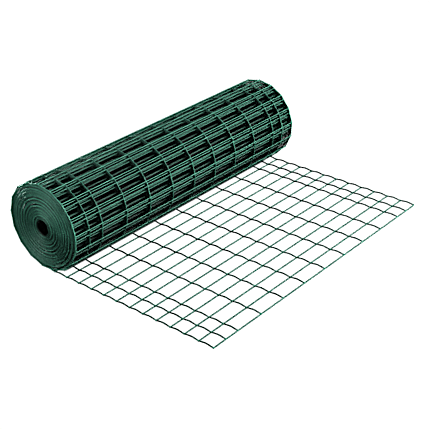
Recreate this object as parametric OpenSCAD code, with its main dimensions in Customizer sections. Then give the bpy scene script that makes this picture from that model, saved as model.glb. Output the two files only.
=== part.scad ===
// Roll of plastic-coated welded wire fencing, lying on its side with its outer end unrolled flat on the floor.
// Millimetres. X runs along the roll's axis, Y from the free end of the mesh to the roll, Z is up.
// The origin is on the floor, below the middle of the bounding box.

/* [Welded mesh] */
// Outside diameter of the coated wire
wire_d = 3.5; // [2.5:0.1:3.7]
// How deep the two wires of a weld sink into each other
weld_set = 1.5; // [0.4:0.1:1.8]
// Cells of full width between the line wires
wide_cells = 8; // [4:1:12]
// Width of a full cell, between line wires
wide_cell = 100; // [75:5:125]
// Width of each of the two narrow cells along either edge
edge_cell = 50; // [40:5:75]
// Spacing of the cross wires along the fence
cross_pitch = 50; // [40:5:75]
// Height of the crimp in a line wire between two cross wires
crimp = 2.6; // [0:0.1:3]

/* [Flat lead] */
// Distance from the first cross wire to the line below the roll's axis
lead_len = 625; // [350:5:1000]

/* [Wound roll] */
// Outside radius of the roll
roll_r = 141.5; // [110:0.5:200]
// Radius of the open core
core_r = 20; // [15:0.5:25]
// Turns of line wire that show on each end
turns = 28; // [8:1:28]
// Radial distance from one turn to the next
turn_pitch = 4.226; // [4.1:0.002:6]

/* [Hidden] */
coat_green = "#1e6a50";
// steps of a line wire's side profile in each cell
crimp_steps = 8;
mesh_t = 2 * wire_d - weld_set;
fence_h = 4 * edge_cell + wide_cells * wide_cell;
// line wires across the fence: two narrow cells, the full cells, two narrow cells
line_x = concat(
    [0, edge_cell],
    [for (i = [0:wide_cells]) 2 * edge_cell + i * wide_cell],
    [fence_h - edge_cell, fence_h]);
total_y = wire_d / 2 + lead_len + roll_r;
free_y = -total_y / 2 + wire_d / 2;
axis_y = free_y + lead_len;
// the roll's own surface comes down onto the lead within this distance of the axis
touch = sqrt(pow(roll_r, 2) - pow(roll_r - mesh_t - crimp - wire_d, 2));
cross_n = floor((lead_len - touch) / cross_pitch);
// radius at the middle of each turn's line wire, counted inwards from the outermost
function turn_r(k) = roll_r - mesh_t + wire_d / 2 - k * turn_pitch;
shown_turns = len([for (k = [0:turns - 1]) if (turn_r(k) - wire_d / 2 > core_r) k]);
// height of a line wire's middle above the floor, y counted from the first cross wire
function line_z(y) = wire_d * 1.5 - weld_set + crimp * pow(sin(180 * y / cross_pitch), 2);

// the roll's half section: radius across, axis up, with a groove between each two turns on either end
module roll_section() {
    difference() {
        translate([core_r, -fence_h / 2 - wire_d / 2])
            square([roll_r - core_r, fence_h + wire_d]);
        for (k = [0:shown_turns - 2], end = [-1, 1])
            translate([turn_r(k + 1) + wire_d / 2, end * (fence_h + wire_d) / 2 - wire_d])
                square([turn_pitch - wire_d, 2 * wire_d]);
    }
}

module wound_roll() {
    color(coat_green)
        translate([0, axis_y, roll_r])
            rotate([0, 90, 0])
                rotate_extrude($fn = 180) roll_section();
}

// a straight cross wire, flat side down on the floor
module cross_wire() {
    translate([-(fence_h + wire_d) / 2, 0, wire_d / 2])
        rotate([0, 90, 0])
            rotate([0, 0, 22.5])
                cylinder(r = wire_d / 2 / cos(22.5), h = fence_h + wire_d, $fn = 8);
}

// a crimped line wire, as its side profile over a bar's width
module line_wire() {
    n = ceil(lead_len / cross_pitch * crimp_steps);
    ys = concat([-wire_d / 2], [for (i = [0:n]) min(lead_len, i * cross_pitch / crimp_steps)]);
    w = wire_d * sqrt(PI) / 2;
    translate([-w / 2, 0, 0])
        rotate([90, 0, 90])
            linear_extrude(w)
                polygon(concat(
                    [for (y = ys) [y, line_z(max(0, y)) - w / 2]],
                    [for (i = [len(ys) - 1:-1:0]) [ys[i], line_z(max(0, ys[i])) + w / 2]]));
}

module flat_lead() {
    color(coat_green)
        difference() {
            union() {
                for (i = [0:cross_n])
                    translate([0, free_y + i * cross_pitch, 0]) cross_wire();
                for (x = line_x)
                    translate([x - fence_h / 2, free_y, 0]) line_wire();
            }
            // the lead ends where it becomes the roll's outermost turn
            translate([-fence_h, axis_y, roll_r])
                rotate([0, 90, 0])
                    cylinder(r = roll_r, h = 2 * fence_h, $fn = 180);
        }
}

wound_roll();
flat_lead();
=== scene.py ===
import math

import bpy
import numpy as np
from mathutils import Matrix, Vector


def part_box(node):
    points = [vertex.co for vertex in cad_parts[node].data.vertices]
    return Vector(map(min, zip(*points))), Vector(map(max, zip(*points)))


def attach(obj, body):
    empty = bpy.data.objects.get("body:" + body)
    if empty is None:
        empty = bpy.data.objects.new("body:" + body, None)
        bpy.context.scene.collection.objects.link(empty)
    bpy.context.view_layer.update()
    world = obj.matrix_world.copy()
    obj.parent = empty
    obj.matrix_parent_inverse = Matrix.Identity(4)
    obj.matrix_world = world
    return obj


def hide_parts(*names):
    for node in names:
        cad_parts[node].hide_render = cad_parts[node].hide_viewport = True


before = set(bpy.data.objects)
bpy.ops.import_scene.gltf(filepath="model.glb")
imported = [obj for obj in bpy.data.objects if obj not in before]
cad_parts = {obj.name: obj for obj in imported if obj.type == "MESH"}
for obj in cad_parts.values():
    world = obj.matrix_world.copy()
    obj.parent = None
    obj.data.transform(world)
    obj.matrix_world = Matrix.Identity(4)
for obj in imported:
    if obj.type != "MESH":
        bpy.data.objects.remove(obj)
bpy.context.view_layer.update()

rng = np.random.default_rng(7)

# ---------------------------------------------------------------- sizes, in millimetres
roll_lo, roll_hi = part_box("wound_roll")
lead_lo, lead_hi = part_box("flat_lead")
WIRE = 3.5                                   # coated wire
RAD = WIRE / 2
SET = 1.5                                    # how far two welded wires sink into each other
PITCH = 50.0                                 # cross wire spacing
ROLL_R = (roll_hi.y - roll_lo.y) * 500.0     # outside radius of the roll
AXIS_Y = (roll_hi.y + roll_lo.y) * 500.0
FREE_Y = lead_lo.y * 1000.0 + RAD            # the first cross wire
LEAD = AXIS_Y - FREE_Y                       # flat length up to below the roll's axis
HALF = (roll_hi.x - roll_lo.x) * 500.0 - RAD # half of the fence's height, to the edge wires' middles
CORE = 20.0
TURN = 4.226                                 # radial distance from turn to turn
LINE_X = [-HALF, -HALF + 50, -HALF + 100] + [-HALF + 100 + 100 * i for i in range(1, 8)] + [HALF - 100, HALF - 50, HALF]
CROSS_DEPTH = RAD                            # middle of a cross wire below the mesh's outside
LINE_DEPTH = RAD + WIRE - SET                # middle of a line wire at a weld
CRIMP = 2.6                                  # how far a line wire arches inwards between two cross wires
NEUTRAL = 3.7                                # depth at which the cross wires keep their spacing in the roll

# ---------------------------------------------------------------- the winding
# phi is the angle wound since the mesh left the floor: 0 below the axis, then up the back, over the top, down the front
PHI_END = 2 * math.pi * (ROLL_R - 2 * WIRE + SET - CORE) / TURN


def outer_r(phi):
    return ROLL_R - TURN * phi / (2 * math.pi)


def place(phi, depth):
    """Point at a depth below the mesh's outside, in the roll."""
    r = outer_r(phi) - depth
    return AXIS_Y + r * np.sin(phi), ROLL_R - r * np.cos(phi)


def natural_cells(phi):
    """Number of mesh cells from the free end up to an angle: an even spiral."""
    return ((ROLL_R - NEUTRAL) * phi - TURN * phi ** 2 / (4 * math.pi) + LEAD) / PITCH


def winding():
    phi = np.linspace(0.0, PHI_END, 40000)
    return phi, natural_cells(phi)


def ring(phi):
    """How far a turn stands back at the near end, from -1, proud, to 1: it changes from turn to turn and round each turn."""
    n = np.asarray(phi, float) / (2 * math.pi)
    uneven = 0.6 * np.sin(2.6 * n + 1.1 * np.sin(phi + 0.7)) + 0.4 * np.sin(4.1 * n + 0.9 * np.cos(phi) + 2.0)
    return uneven * np.clip((phi - 8.0) / 8.0, 0.0, 1.0)


def wander(phi, x):
    """How far the mesh has strayed sideways as it was wound: on the roll its edge wires are pushed out a little, the turns'
    edges aren't quite in line on the roll's ends, and the inner turns stand a little proud on the near one."""
    phi, x = np.asarray(phi, float), np.asarray(x, float)
    near = (HALF - x) / (2 * HALF)
    grow = np.clip((phi - 8.0) / 30.0, 0.0, 1.0)
    edge = np.sign(x) * np.clip((np.abs(x) - HALF + 50.0) / 50.0, 0.0, 1.0) * np.clip(phi / 1.2, 0.0, 1.0)
    return 4.0 * edge + 0.7 * (0.25 + 0.75 * near) * ring(phi) - 1.5 * grow * near ** 2


def painted_light_and_shade(phi, x, lead, hoop=False):
    """Painted light and shade on a wire, as a factor on its coating's colour: how much light is left at it, less under
    each turn wound over it, on the roll's underside, over its top, on recessed turns and the turns just inside the
    outermost one at the ends, and in its core, and more at the roll's two ends, on the outermost hoop there and on the
    front of the outermost turn.
    lead is the painted shade, or at the crossings painted light, on the flat lead, from where it rises up the back of
    the roll, and hoop says that the wire goes round the roll."""
    # painted shade deeper in the roll, under each turn wound over it
    under = np.maximum(phi / (2 * math.pi) - 1.0, 0.0)
    inside = np.exp(-(under / 5.0) ** 2)
    # painted light at the roll's two ends
    rim = np.exp(-np.maximum(HALF - np.abs(x), 0.0) / 14.0)
    end = 0.9 * rim
    # painted highlight on the outermost hoop at the ends, painted shade on the turns just inside it and on the turns
    # that stand back
    outermost = np.interp(phi, [0.0, 1.0, 6.2, 6.9, 14.0, 22.0], [1.0, 1.25, 1.25, 0.72, 0.72, 1.0])
    rings = (1.0 + rim * (outermost - 1.0)) * np.maximum(1.0 + 0.9 * rim * np.sign(x) * ring(phi), 0.25)
    # painted shade on the roll's underside and lower front, less of it along the outermost turn's lower front edge
    turn = np.mod(phi, 2 * math.pi) / math.pi
    below = np.interp(turn, [0.0, 0.25, 0.6, 1.45, 1.60, 1.72, 1.82, 2.0], [0.10, 0.25, 1.0, 1.0, 0.75, 0.55, 0.15, 0.10])
    lower = np.clip(under / 0.4, 0.0, 1.0)                                      # 1 below the outermost turn
    below = below * (1.0 - 0.35 * lower * np.interp(turn, [1.5, 1.65, 2.0], [0.0, 1.0, 1.0]))
    edge = 0.8 if hoop else 0.35                                                # along the roll's lower front edge
    below = np.maximum(below, (1.0 - lower) * np.interp(turn, [1.4, 1.62, 1.70, 1.76, 1.88, 2.0], [0.0, 1.0, 0.85, edge, 0.15, 0.1]))
    rising = np.interp(phi, [0.5, 1.2], [0.0, 1.0])
    below = 1.0 - rising * (1.0 - np.maximum(below, end * 0.8))
    # painted shade in the core
    core = np.interp(outer_r(phi), [CORE + 5.0, CORE + 16.0], [0.25, 1.0])
    # painted shade over the top of the roll, and a painted highlight on the front of the outermost turn
    top = 1.0 - (0.12 if hoop else 0.0) - lower * (0.25 if hoop else 0.08)
    over = 1.0 - (1.0 - top) * np.interp(turn, [0.6, 0.9, 1.12, 1.30], [0.0, 1.0, 1.0, 0.0])
    over = over * (1.0 - 0.28 * np.interp(turn, [0.50, 0.72, 0.95, 1.04], [0.0, 1.0, 1.0, 0.0]))
    over = over + (0.18 if hoop else 0.10) * (1.0 - lower) * np.interp(turn, [1.30, 1.40, 1.60, 1.70], [0.0, 1.0, 1.0, 0.0])
    # the lead's painted shade fades out as the mesh rises up the back of the roll
    return (1.0 - (1.0 - inside) * (1.0 - end)) * below * core * np.maximum(over, end) * rings * np.interp(phi, [0.0, 1.5], [lead, 1.0])


LEAD_LINE, LEAD_CROSS, LEAD_WELD = 0.31, 0.58, 1.10      # painted shade on the lead's line and cross wires, and painted light at its crossings, as factors on the coating's colour
PHI, CELLS = winding()
LAST = int(math.floor(CELLS[-1] - 0.05))      # the innermost cross wire


def phi_of(cells):
    return np.interp(cells, CELLS, PHI)


# ---------------------------------------------------------------- mesh helpers
class Soup:
    """Collects tubes and beads as arrays, for one joined mesh."""

    def __init__(self):
        self.v, self.q, self.t, self.tone, self.shade, self.n = [], [], [], [], [], 0

    def add(self, verts, quads, tris, tone, shade=1.0):
        self.v.append(verts)
        self.q.append(quads + self.n)
        self.t.append(tris + self.n)
        self.tone.append(np.full(len(verts), tone))
        self.shade.append(np.full(len(verts), 1.0) * shade)
        self.n += len(verts)

    def build(self, name, material):
        v = np.concatenate(self.v) * 0.001
        q = np.concatenate(self.q)
        t = np.concatenate(self.t)
        me = bpy.data.meshes.new(name)
        me.vertices.add(len(v))
        me.vertices.foreach_set("co", v.astype(np.float32).ravel())
        loops = np.concatenate([q.ravel(), t.ravel()]).astype(np.int32)
        starts = np.concatenate([np.arange(len(q)) * 4, len(q) * 4 + np.arange(len(t)) * 3]).astype(np.int32)
        me.loops.add(len(loops))
        me.loops.foreach_set("vertex_index", loops)
        me.polygons.add(len(starts))
        me.polygons.foreach_set("loop_start", starts)
        me.polygons.foreach_set("use_smooth", np.ones(len(starts), bool))
        me.update(calc_edges=True)
        me.validate()
        for name_, data in (("tone", self.tone), ("shade", self.shade)):
            a = me.attributes.new(name_, "FLOAT", "POINT")
            a.data.foreach_set("value", np.concatenate(data).astype(np.float32))
        me.materials.append(material)
        o = bpy.data.objects.new(name, me)
        bpy.context.scene.collection.objects.link(o)
        return o


def tube(path, across, radius, sides, data):
    """A round wire along path (n, 3), with rounded ends. across (n, 3) is a unit direction square to it, and data (n,) a
    number along it, which comes back for each vertex."""
    path = np.asarray(path, float)
    tang = np.gradient(path, axis=0)
    tang /= np.linalg.norm(tang, axis=1, keepdims=True)
    steps = np.array([0.0, 0.45, 0.8])
    rad = np.sqrt(1 - steps[::-1] ** 2)
    first = path[0] + tang[0] * radius * (1 - steps[::-1])[:, None]
    last = path[-1] - tang[-1] * radius * (1 - steps)[:, None]
    inner = path[1:-1]
    keep = (np.linalg.norm(inner - path[0], axis=1) > radius * 1.3) & (np.linalg.norm(inner - path[-1], axis=1) > radius * 1.3)
    path2 = np.concatenate([first, inner[keep], last])
    t2 = np.concatenate([np.repeat(tang[:1], 3, 0), tang[1:-1][keep], np.repeat(tang[-1:], 3, 0)])
    a2 = np.concatenate([np.repeat(across[:1], 3, 0), across[1:-1][keep], np.repeat(across[-1:], 3, 0)])
    d2 = np.concatenate([np.repeat(data[:1], 3), data[1:-1][keep], np.repeat(data[-1:], 3)])
    r2 = np.concatenate([rad * radius, np.full(keep.sum(), radius), rad[::-1] * radius])
    b2 = np.cross(t2, a2)
    b2 /= np.linalg.norm(b2, axis=1, keepdims=True)
    th = np.arange(sides) * 2 * math.pi / sides
    ring = path2[:, None, :] + r2[:, None, None] * (np.cos(th)[None, :, None] * a2[:, None, :] + np.sin(th)[None, :, None] * b2[:, None, :])
    n = len(path2)
    verts = ring.reshape(-1, 3)
    i = np.arange(n - 1)[:, None] * sides
    j = np.arange(sides)[None, :]
    k = (j + 1) % sides
    quads = np.stack([i + j, i + k, i + sides + k, i + sides + j], -1).reshape(-1, 4)
    verts = np.concatenate([verts, path[:1], path[-1:]])
    s = np.arange(sides)
    e = (s + 1) % sides
    tris = np.concatenate([
        np.stack([e, s, np.full(sides, n * sides)], 1),
        np.stack([(n - 1) * sides + s, (n - 1) * sides + e, np.full(sides, n * sides + 1)], 1)])
    return verts, quads, tris, np.concatenate([np.repeat(d2, sides), data[:1], data[-1:]])


def bead_shape(around=8, rows=(0.42, 0.0, -0.42)):
    """A unit ball with few faces: rows are the heights of its rings."""
    th = np.arange(around) * 2 * math.pi / around
    v = []
    for h in rows:
        v += [(math.sqrt(1 - h * h) * math.cos(a), math.sqrt(1 - h * h) * math.sin(a), h) for a in th]
    n = len(v)
    v += [(0, 0, 1), (0, 0, -1)]
    q, t = [], []
    for r in range(len(rows) - 1):
        for s in range(around):
            e = (s + 1) % around
            q.append((r * around + e, r * around + s, (r + 1) * around + s, (r + 1) * around + e))
    for s in range(around):
        e = (s + 1) % around
        t.append((s, e, n))
        t.append(((len(rows) - 1) * around + e, (len(rows) - 1) * around + s, n + 1))
    return np.array(v, float), np.array(q), np.array(t)


# ---------------------------------------------------------------- material
def coating():
    m = bpy.data.materials.new("green_coating")
    m.use_nodes = True
    nt = m.node_tree
    nt.nodes.clear()
    N, L = nt.nodes.new, nt.links.new
    out = N("ShaderNodeOutputMaterial")
    bs = N("ShaderNodeBsdfPrincipled")
    L(bs.outputs["BSDF"], out.inputs["Surface"])
    bs.inputs["Specular IOR Level"].default_value = 0.4
    bs.inputs["Coat Weight"].default_value = 0.0
    tc = N("ShaderNodeTexCoord")
    # cloudy colour over a few centimetres, and a finer mottle of the plastic
    n1 = N("ShaderNodeTexNoise")
    n1.inputs["Scale"].default_value = 34.0
    n1.inputs["Detail"].default_value = 3.0
    L(tc.outputs["Object"], n1.inputs["Vector"])
    n2 = N("ShaderNodeTexNoise")
    n2.inputs["Scale"].default_value = 520.0
    n2.inputs["Detail"].default_value = 4.0
    L(tc.outputs["Object"], n2.inputs["Vector"])
    tone = N("ShaderNodeAttribute")
    tone.attribute_name = "tone"
    add = N("ShaderNodeMath")
    add.operation = "MULTIPLY_ADD"
    L(n2.outputs["Fac"], add.inputs[0])
    add.inputs[1].default_value = 0.35
    L(n1.outputs["Fac"], add.inputs[2])
    add2 = N("ShaderNodeMath")
    add2.operation = "ADD"
    L(add.outputs[0], add2.inputs[0])
    L(tone.outputs["Fac"], add2.inputs[1])
    ramp = N("ShaderNodeValToRGB")
    e = ramp.color_ramp.elements
    e[0].position, e[0].color = 0.36, (0.053, 0.146, 0.112, 1)
    e[1].position, e[1].color = 1.02, (0.081, 0.207, 0.161, 1)
    L(add2.outputs[0], ramp.inputs["Fac"])
    # painted light and shade: the shade attribute scales the base colour
    painted_light_and_shade_attr = N("ShaderNodeAttribute")
    painted_light_and_shade_attr.attribute_name = "shade"
    mul = N("ShaderNodeVectorMath")
    mul.operation = "SCALE"
    L(ramp.outputs["Color"], mul.inputs[0])
    L(painted_light_and_shade_attr.outputs["Fac"], mul.inputs["Scale"])
    L(mul.outputs[0], bs.inputs["Base Color"])
    rr = N("ShaderNodeMapRange")
    rr.inputs["From Min"].default_value, rr.inputs["From Max"].default_value = 0.3, 0.75
    rr.inputs["To Min"].default_value, rr.inputs["To Max"].default_value = 0.44, 0.58
    L(n2.outputs["Fac"], rr.inputs["Value"])
    L(rr.outputs["Result"], bs.inputs["Roughness"])
    n3 = N("ShaderNodeTexNoise")
    n3.inputs["Scale"].default_value = 1500.0
    n3.inputs["Detail"].default_value = 3.0
    L(tc.outputs["Object"], n3.inputs["Vector"])
    bump = N("ShaderNodeBump")
    bump.inputs["Strength"].default_value = 0.35
    bump.inputs["Distance"].default_value = 0.00012
    L(n3.outputs["Fac"], bump.inputs["Height"])
    L(bump.outputs["Normal"], bs.inputs["Normal"])
    return m


green = coating()

# ---------------------------------------------------------------- line wires
def line_path(crimp_scale):
    """(angle wound, y, z) along one line wire, from the free end to the core."""
    c_lead = np.linspace(0.0, LEAD / PITCH, int(LEAD / PITCH * 20) + 1)
    y1 = FREE_Y + c_lead * PITCH
    d1 = LINE_DEPTH + CRIMP * crimp_scale * np.sin(math.pi * c_lead) ** 2
    # along the roll: short steps by length, and shorter by angle near the core
    phi, steps = [], 0.0
    while steps < PHI_END:
        phi.append(steps)
        r = float(outer_r(steps)) - LINE_DEPTH
        steps += min(8.0 / r, 0.16) if steps > 20.0 else 6.0 / r
    phi = np.array(phi + [PHI_END])[1:]
    c2 = np.interp(phi, PHI, CELLS)
    fade = np.interp(phi, [0.0, 1.0, 7.0, 8.4, 14.0], [1.0, 0.8, 0.8, 0.45, 0.15])      # straight from cross wire to cross wire
    d2 = LINE_DEPTH + CRIMP * crimp_scale * fade * np.sin(math.pi * c2) ** 2
    y2, z2 = place(phi, d2)
    y = np.concatenate([y1, y2])
    z = np.concatenate([d1, z2])
    weld = np.exp(-((c_lead - np.round(c_lead)) * PITCH / 4.5) ** 2)         # 1 at a crossing on the lead, where the line wire gets painted light
    return np.concatenate([np.zeros(len(c_lead)), phi]), y, z, np.concatenate([weld, np.zeros(len(phi))])


line_objs = []
for i, x in enumerate(LINE_X):
    phi, y, z, weld = line_path(1.0 + 0.08 * rng.standard_normal())
    path = np.stack([x + wander(phi, x), y, z], 1)
    path[0, 1] -= RAD
    s = Soup()
    # painted shade on the line wire, with painted light at the lead's crossings
    shade = painted_light_and_shade(phi, x, LEAD_LINE, True) + weld * (LEAD_WELD - LEAD_LINE)
    v, q, t, shade = tube(path, np.repeat([[1.0, 0.0, 0.0]], len(path), 0), RAD, 8, shade)
    s.add(v, q, t, 0.05 * rng.standard_normal(), shade)
    line_objs.append(s.build("line_wire_%02d" % (i + 1), green))

# ---------------------------------------------------------------- cross wires
def cross_wire(y, z, phi, soup, spread, weld=0.0):
    xs = [-HALF - RAD]
    for a, b in zip(LINE_X[:-1], LINE_X[1:]):
        xs += [a, (a + b) / 2]
    xs += [LINE_X[-1], HALF + RAD]
    xs = np.unique(np.concatenate([xs, [-HALF + 8, -HALF + 16, HALF - 16, HALF - 8]]))
    if weld:
        xs = np.unique(np.concatenate([xs] + [np.clip(np.array(LINE_X) + a, xs[0], xs[-1]) for a in (-9, -4, 4, 9)]))
    path = np.stack([xs, np.full(len(xs), y), np.full(len(xs), z)], 1)
    path[:, 1:] += spread * rng.standard_normal((len(xs), 2))
    path[:, 0] += wander(phi, xs)
    off = np.abs(xs[:, None] - np.array(LINE_X)[None, :]).min(1)
    # painted shade on the cross wire, with painted light where it crosses the line wires on the lead
    shade = painted_light_and_shade(phi, xs, LEAD_CROSS) + weld * np.exp(-(off / 4.0) ** 2)
    v, q, t, shade = tube(path, np.repeat([[0.0, 0.0, 1.0]], len(path), 0), RAD, 8, shade)
    soup.add(v, q, t, 0.06 * rng.standard_normal(), shade)


lead_cross, roll_cross = Soup(), Soup()
for k in range(0, 13):
    cross_wire(FREE_Y + k * PITCH, CROSS_DEPTH, 0.0, lead_cross, 0.0 if k == 0 else 0.05, 0.4)
for k in range(13, LAST + 1):
    yk, zk = place(phi_of(k), CROSS_DEPTH)
    cross_wire(float(yk), float(zk), float(phi_of(k)), roll_cross, 0.10)
cross_objs = [lead_cross.build("cross_wires_lead", green), roll_cross.build("cross_wires_roll", green)]

# ---------------------------------------------------------------- weld beads, where the coating fills the corners of a crossing
shape, bq, bt = bead_shape()
lead_beads, roll_beads = Soup(), Soup()
for k in range(0, LAST + 1):
    if k < 13:
        y, z, phi = FREE_Y + k * PITCH, LINE_DEPTH - (LINE_DEPTH - CROSS_DEPTH) / 2, 0.0
        soup = lead_beads
    else:
        phi = float(phi_of(k))
        y, z = (float(a) for a in place(phi, (LINE_DEPTH + CROSS_DEPTH) / 2))
        soup = roll_beads
    along = np.array([0.0, math.cos(phi), math.sin(phi)])
    inward = np.array([0.0, -math.sin(phi), math.cos(phi)])
    size = 1.8 if k < 13 else 2.1
    basis = np.stack([np.array([size, 0, 0]), along * size, inward * 2.0])
    for x in LINE_X:
        # painted light on the lead's beads, painted light and shade on the roll's
        soup.add(shape @ basis + np.array([x + wander(phi, x), y, z]), bq, bt, 0.05 * rng.standard_normal(), painted_light_and_shade(phi, x, LEAD_WELD, True))
bead_objs = [lead_beads.build("weld_beads_lead", green), roll_beads.build("weld_beads_roll", green)]

pieces = line_objs + cross_objs + bead_objs
for o in pieces:
    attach(o, "root")
for o in line_objs:
    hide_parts("wound_roll", "flat_lead")
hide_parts("flat_lead")
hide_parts("wound_roll")

# ---------------------------------------------------------------- floor, light and camera
scene = bpy.context.scene
scene.view_settings.view_transform = "Standard"
scene.view_settings.look = "None"
scene.view_settings.gamma = 0.6
scene.cycles.filter_width = 1.85

floor_me = bpy.data.meshes.new("floor")
F = 30.0
floor_me.from_pydata([(-F, -F, -0.0003), (F, -F, -0.0003), (F, F, -0.0003), (-F, F, -0.0003)], [], [(0, 1, 2, 3)])
floor = bpy.data.objects.new("floor", floor_me)
scene.collection.objects.link(floor)
fm = bpy.data.materials.new("floor_white")
fm.use_nodes = True
fn = fm.node_tree
fn.nodes.clear()
f_out = fn.nodes.new("ShaderNodeOutputMaterial")
f_em = fn.nodes.new("ShaderNodeEmission")
f_em.inputs["Color"].default_value = (1, 1, 1, 1)
# painted contact shadow below the roll: the floor's glow fades to nothing there
f_geo = fn.nodes.new("ShaderNodeNewGeometry")
f_sep = fn.nodes.new("ShaderNodeSeparateXYZ")
fn.links.new(f_geo.outputs["Position"], f_sep.inputs[0])
f_open = None
for axis, middle, inner, outer in (("X", 0.0, HALF * 0.001 - 0.05, HALF * 0.001 - 0.01), ("Y", AXIS_Y * 0.001, 0.040, 0.048)):
    f_off = fn.nodes.new("ShaderNodeMath")
    f_off.operation = "SUBTRACT"
    fn.links.new(f_sep.outputs[axis], f_off.inputs[0])
    f_off.inputs[1].default_value = middle
    f_abs = fn.nodes.new("ShaderNodeMath")
    f_abs.operation = "ABSOLUTE"
    fn.links.new(f_off.outputs[0], f_abs.inputs[0])
    f_fade = fn.nodes.new("ShaderNodeMapRange")
    f_fade.interpolation_type = "SMOOTHSTEP"
    f_fade.inputs["From Min"].default_value, f_fade.inputs["From Max"].default_value = inner, outer
    f_fade.inputs["To Min"].default_value, f_fade.inputs["To Max"].default_value = 0.0, 0.97
    fn.links.new(f_abs.outputs[0], f_fade.inputs["Value"])
    if f_open is None:
        f_open = f_fade
    else:
        f_max = fn.nodes.new("ShaderNodeMath")
        f_max.operation = "MAXIMUM"
        fn.links.new(f_open.outputs["Result"], f_max.inputs[0])
        fn.links.new(f_fade.outputs["Result"], f_max.inputs[1])
        fn.links.new(f_max.outputs[0], f_em.inputs["Strength"])
f_df = fn.nodes.new("ShaderNodeBsdfDiffuse")
f_df.inputs["Color"].default_value = (0.05, 0.05, 0.05, 1)
f_add = fn.nodes.new("ShaderNodeAddShader")
fn.links.new(f_em.outputs[0], f_add.inputs[0])
fn.links.new(f_df.outputs[0], f_add.inputs[1])
fn.links.new(f_add.outputs[0], f_out.inputs["Surface"])
floor_me.materials.append(fm)
floor.visible_diffuse = False
floor.visible_glossy = False
floor.visible_shadow = False

world = bpy.data.worlds.new("studio")
scene.world = world
world.use_nodes = True
wn = world.node_tree
wn.nodes.clear()
w_out = wn.nodes.new("ShaderNodeOutputWorld")
w_bg = wn.nodes.new("ShaderNodeBackground")
w_cam = wn.nodes.new("ShaderNodeBackground")
w_tc = wn.nodes.new("ShaderNodeTexCoord")
w_sep = wn.nodes.new("ShaderNodeSeparateXYZ")
w_up = wn.nodes.new("ShaderNodeValToRGB")                    # light from above only
w_up.color_ramp.elements[0].position, w_up.color_ramp.elements[0].color = 0.0, (0, 0, 0, 1)
w_up.color_ramp.elements[1].position, w_up.color_ramp.elements[1].color = 0.5, (0.9, 0.95, 1.0, 1)
wn.links.new(w_tc.outputs["Generated"], w_sep.inputs[0])
wn.links.new(w_sep.outputs["Z"], w_up.inputs["Fac"])
wn.links.new(w_up.outputs["Color"], w_bg.inputs["Color"])
w_bg.inputs["Strength"].default_value = 0.05
w_cam.inputs["Color"].default_value = (1, 1, 1, 1)
w_cam.inputs["Strength"].default_value = 0.97          # as bright as the far floor
w_mix = wn.nodes.new("ShaderNodeMixShader")
w_lp = wn.nodes.new("ShaderNodeLightPath")
wn.links.new(w_lp.outputs["Is Camera Ray"], w_mix.inputs[0])
wn.links.new(w_bg.outputs[0], w_mix.inputs[1])
wn.links.new(w_cam.outputs[0], w_mix.inputs[2])
wn.links.new(w_mix.outputs[0], w_out.inputs["Surface"])


def area(name, loc, target, size, power, color=(1, 1, 1)):
    d = bpy.data.lights.new(name, "AREA")
    d.shape = "RECTANGLE"
    d.size, d.size_y = size
    d.energy = power
    d.color = color
    o = bpy.data.objects.new(name, d)
    scene.collection.objects.link(o)
    o.location = loc
    o.rotation_euler = (Vector(target) - Vector(loc)).to_track_quat("-Z", "Y").to_euler()
    o.visible_camera = False
    return o


area("key", (0.6, -3.15, 2.0), (0.0, 0.1, 0.1), (1.2, 1.2), 292.0)
area("side", (2.6, -2.4, 1.8), (0.0, 0.1, 0.1), (1.2, 1.2), 282.0)
area("left", (-2.4, -1.7, 1.2), (0.0, 0.2, 0.15), (1.0, 1.0), 14.0)
area("back", (0.4, 3.3, 0.5), (0.0, 0.3, 0.14), (2.0, 0.6), 230.0)
area("end_fill", (-2.6, 1.1, 0.9), (-0.5, 0.24, 0.14), (0.8, 0.8), 108.0)

cam_d = bpy.data.cameras.new("camera")
cam_d.sensor_width = 36.0
cam_d.lens = 87.688
cam_d.clip_start, cam_d.clip_end = 0.05, 200.0
cam = bpy.data.objects.new("camera", cam_d)
scene.collection.objects.link(cam)
loc = Vector((-2.1724, -1.8163, 1.58663))
target = Vector((0.05606, 0.07712, 0.0))
fwd = (target - loc).normalized()
right = fwd.cross(Vector((0, 0, 1))).normalized()
down = fwd.cross(right)
roll = -0.01573
cr, sr = math.cos(roll), math.sin(roll)
cx = right * cr - down * sr
cy = -(right * sr + down * cr)
cam.matrix_world = Matrix((
    (cx.x, cy.x, -fwd.x, loc.x),
    (cx.y, cy.y, -fwd.y, loc.y),
    (cx.z, cy.z, -fwd.z, loc.z),
    (0, 0, 0, 1)))
scene.camera = cam

# the picture's crispness: the finished render, less a blurred copy of itself, added back on
scene.use_nodes = True
ct = scene.node_tree
ct.nodes.clear()
c_in = ct.nodes.new("CompositorNodeRLayers")
c_blur = ct.nodes.new("CompositorNodeBlur")
c_blur.filter_type = "GAUSS"
c_blur.inputs["Size"].default_value = (3.6, 3.6)
c_diff = ct.nodes.new("CompositorNodeMixRGB")
c_diff.blend_type = "SUBTRACT"
c_diff.inputs[0].default_value = 1.0
c_add = ct.nodes.new("CompositorNodeMixRGB")
c_add.blend_type = "ADD"
c_add.inputs[0].default_value = 0.82
c_out = ct.nodes.new("CompositorNodeComposite")
ct.links.new(c_in.outputs["Image"], c_blur.inputs["Image"])
ct.links.new(c_in.outputs["Image"], c_diff.inputs[1])
ct.links.new(c_blur.outputs["Image"], c_diff.inputs[2])
ct.links.new(c_in.outputs["Image"], c_add.inputs[1])
ct.links.new(c_diff.outputs["Image"], c_add.inputs[2])
ct.links.new(c_add.outputs["Image"], c_out.inputs["Image"])
